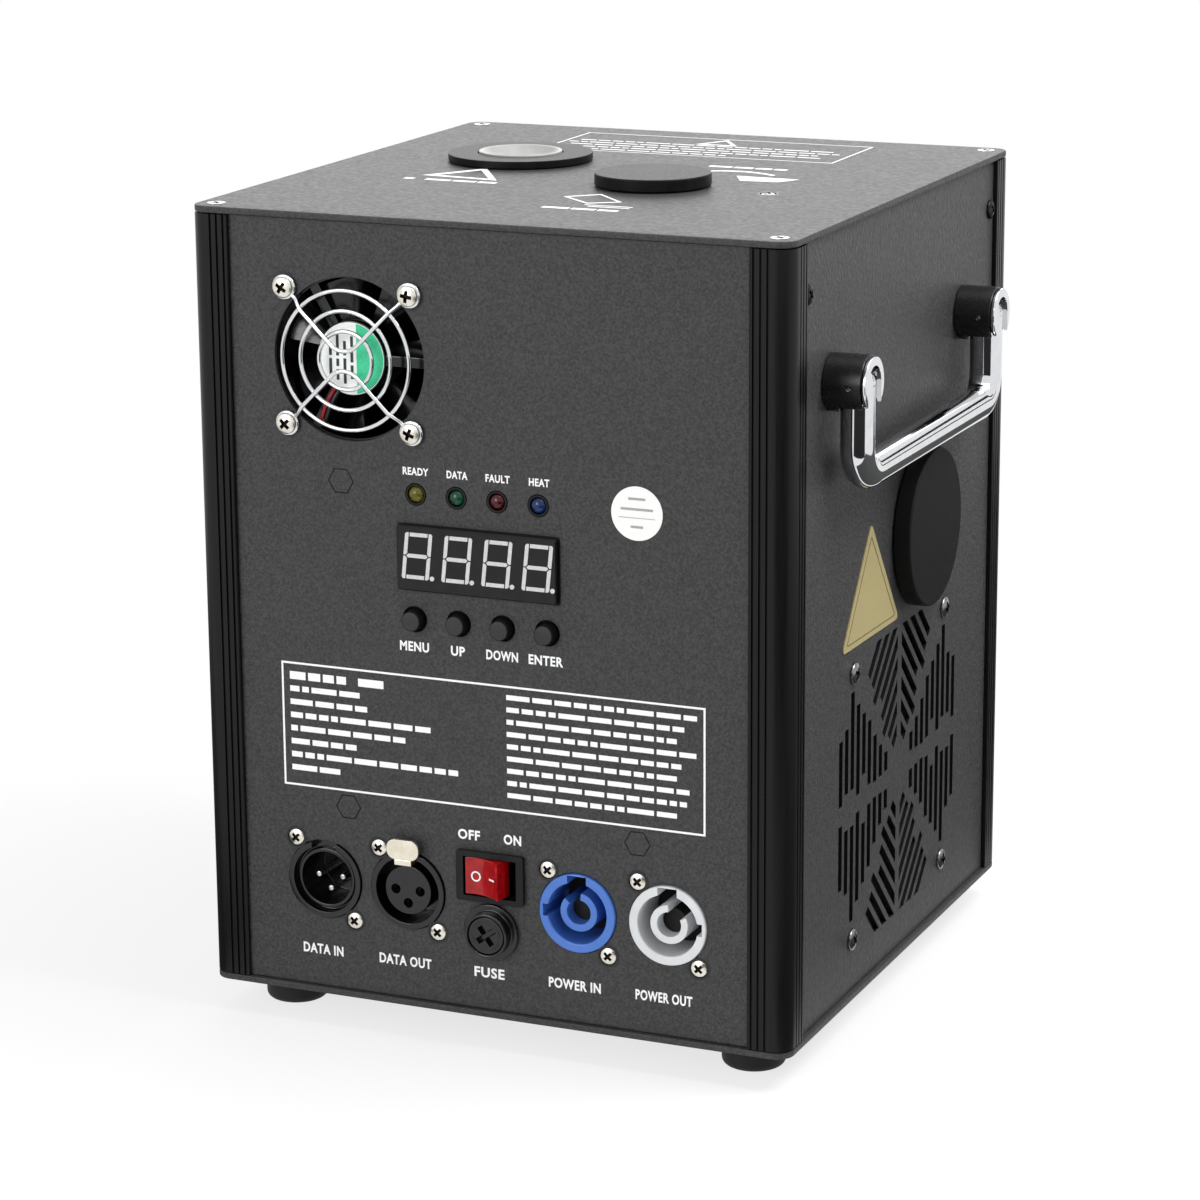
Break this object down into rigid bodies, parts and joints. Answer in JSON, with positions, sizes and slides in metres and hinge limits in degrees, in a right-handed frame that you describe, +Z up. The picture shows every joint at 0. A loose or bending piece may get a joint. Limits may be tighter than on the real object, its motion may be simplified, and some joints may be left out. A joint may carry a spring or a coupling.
{
  "type": "cold spark machine",
  "caption": "Boxy stage effect machine with a folding handle on each side, a spark nozzle and filling cap on top, and a front panel of display, keys, sockets and fan.",
  "frame": {"origin": "middle of the machine's overall footprint, on the plane that its four feet stand on", "axes": "+Z up, -Y out of the control panel, +X towards the side with the slotted grille"},
  "size_m": [0.2104, 0.1986, 0.2511],
  "materials": {
    "powder_black": "satin powder coat",
    "anodised_black": "satin black anodised",
    "plastic_black": "satin moulded",
    "gloss_black": "glossy moulded",
    "rubber_black": "matt",
    "chrome": "polished",
    "nickel": "satin nickel plate",
    "ceramic_white": "unglazed, smooth",
    "ceramic_fibre": "wrapped fibre",
    "steel": "bright",
    "aluminium": "mill finish",
    "board_green": "solder mask",
    "socket_blue": "moulded",
    "socket_grey": "moulded",
    "switch_red": "clear red moulding",
    "glass_clear": "clear",
    "lamp_amber": "clear epoxy",
    "lamp_green": "clear epoxy",
    "lamp_red": "clear epoxy",
    "lamp_blue": "clear epoxy"
  },
  "bodies": {
    "casing": {"top_cover": "powder_black", "bottom_plate": "powder_black", "post_front_left": "anodised_black", "post_front_right": "anodised_black", "post_rear_right": "anodised_black", "post_rear_left": "anodised_black", "front_panel": "powder_black", "rear_panel": "powder_black", "left_panel": "powder_black", "right_panel": "powder_black", "foot_front_left": "rubber_black", "foot_front_right": "rubber_black", "foot_rear_left": "rubber_black", "foot_rear_right": "rubber_black", "handle_post_right_front": "chrome", "handle_sleeve_right_front": "plastic_black", "handle_post_right_rear": "chrome", "handle_sleeve_right_rear": "plastic_black", "handle_post_left_front": "chrome", "handle_sleeve_left_front": "plastic_black", "handle_post_left_rear": "chrome", "handle_sleeve_left_rear": "plastic_black", "nozzle_flange": "anodised_black", "nozzle_insert": "ceramic_white", "fan_guard": "chrome", "front_fan_frame": "plastic_black", "side_fan_frame": "plastic_black", "display": "gloss_black", "ready_lamp": "lamp_amber", "data_lamp": "lamp_green", "fault_lamp": "lamp_red", "heat_lamp": "lamp_blue", "control_board": "board_green", "data_in_socket": "plastic_black", "data_out_socket": "plastic_black", "power_in_socket": "socket_blue", "power_out_socket": "socket_grey", "switch_frame": "gloss_black", "fuse_holder": "gloss_black", "hopper": "aluminium", "feed_motor": "steel", "heater_core": "ceramic_fibre", "blower_housing": "plastic_black", "power_supply": "board_green"},
    "handle_right": {"handle_right": "chrome"},
    "handle_left": {"handle_left": "chrome"},
    "filler_cap": {"filler_cap": "anodised_black"},
    "side_cap": {"side_cap": "plastic_black"},
    "menu_key": {"menu_key": "plastic_black"},
    "up_key": {"up_key": "plastic_black"},
    "down_key": {"down_key": "plastic_black"},
    "enter_key": {"enter_key": "plastic_black"},
    "switch_rocker": {"switch_rocker": "switch_red"},
    "data_out_latch": {"data_out_latch": "nickel"},
    "fuse_link": {"fuse_link": "glass_clear"},
    "fuse_cap": {"fuse_cap": "gloss_black"},
    "front_fan_rotor": {"front_fan_rotor": "plastic_black"},
    "side_fan_rotor": {"side_fan_rotor": "plastic_black"},
    "blower_wheel": {"blower_wheel": "plastic_black"},
    "auger": {"auger": "steel"}
  },
  "joints": [
    {"name": "handle_right_swing", "type": "hinge", "parent": "casing", "child": "handle_right", "pos_m": [0.1002, -0.00172, 0.202], "axis": [0, -1, 0], "range_deg": [0, 90]},
    {"name": "handle_left_swing", "type": "hinge", "parent": "casing", "child": "handle_left", "pos_m": [-0.1002, -0.00172, 0.202], "axis": [0, 1, 0], "range_deg": [0, 90]},
    {"name": "filler_cap_lift", "type": "slide", "parent": "casing", "child": "filler_cap", "axis": [0, 0, 1], "range_m": [0, 0.04]},
    {"name": "side_cap_pull", "type": "slide", "parent": "casing", "child": "side_cap", "axis": [1, 0, 0], "range_m": [0, 0.04]},
    {"name": "menu_key_press", "type": "slide", "parent": "casing", "child": "menu_key", "axis": [0, 1, 0], "range_m": [0, 0.001], "stiffness_N_per_m": 800, "springref_m": -0.0005},
    {"name": "up_key_press", "type": "slide", "parent": "casing", "child": "up_key", "axis": [0, 1, 0], "range_m": [0, 0.001], "stiffness_N_per_m": 800, "springref_m": -0.0005},
    {"name": "down_key_press", "type": "slide", "parent": "casing", "child": "down_key", "axis": [0, 1, 0], "range_m": [0, 0.001], "stiffness_N_per_m": 800, "springref_m": -0.0005},
    {"name": "enter_key_press", "type": "slide", "parent": "casing", "child": "enter_key", "axis": [0, 1, 0], "range_m": [0, 0.001], "stiffness_N_per_m": 800, "springref_m": -0.0005},
    {"name": "mains_switch_rock", "type": "hinge", "parent": "casing", "child": "switch_rocker", "pos_m": [0, -0.09122, 0.0535], "axis": [0, 0, 1], "range_deg": [0, 34]},
    {"name": "data_out_latch_press", "type": "slide", "parent": "casing", "child": "data_out_latch", "axis": [0, 1, 0], "range_m": [0, 0.0012], "stiffness_N_per_m": 600, "springref_m": -0.0008},
    {"name": "fuse_draw", "type": "slide", "parent": "casing", "child": "fuse_link", "axis": [0, -1, 0], "range_m": [0, 0.028]},
    {"name": "fuse_cap_turn", "type": "hinge", "parent": "fuse_link", "child": "fuse_cap", "pos_m": [0, -0.09422, 0.0367], "axis": [0, -1, 0], "range_deg": [0, 60]},
    {"name": "front_fan_spin", "type": "hinge", "parent": "casing", "child": "front_fan_rotor", "pos_m": [-0.043, -0.08522, 0.2048], "axis": [0, -1, 0], "continuous": true},
    {"name": "side_fan_spin", "type": "hinge", "parent": "casing", "child": "side_fan_rotor", "pos_m": [0.078, 0.00268, 0.0695], "axis": [1, 0, 0], "continuous": true},
    {"name": "blower_spin", "type": "hinge", "parent": "casing", "child": "blower_wheel", "pos_m": [-0.019, 0.02278, 0.0483], "axis": [0, -1, 0], "continuous": true},
    {"name": "auger_spin", "type": "hinge", "parent": "casing", "child": "auger", "pos_m": [0.014, 0.02178, 0.143], "axis": [1, 0, 0], "continuous": true}
  ]
}
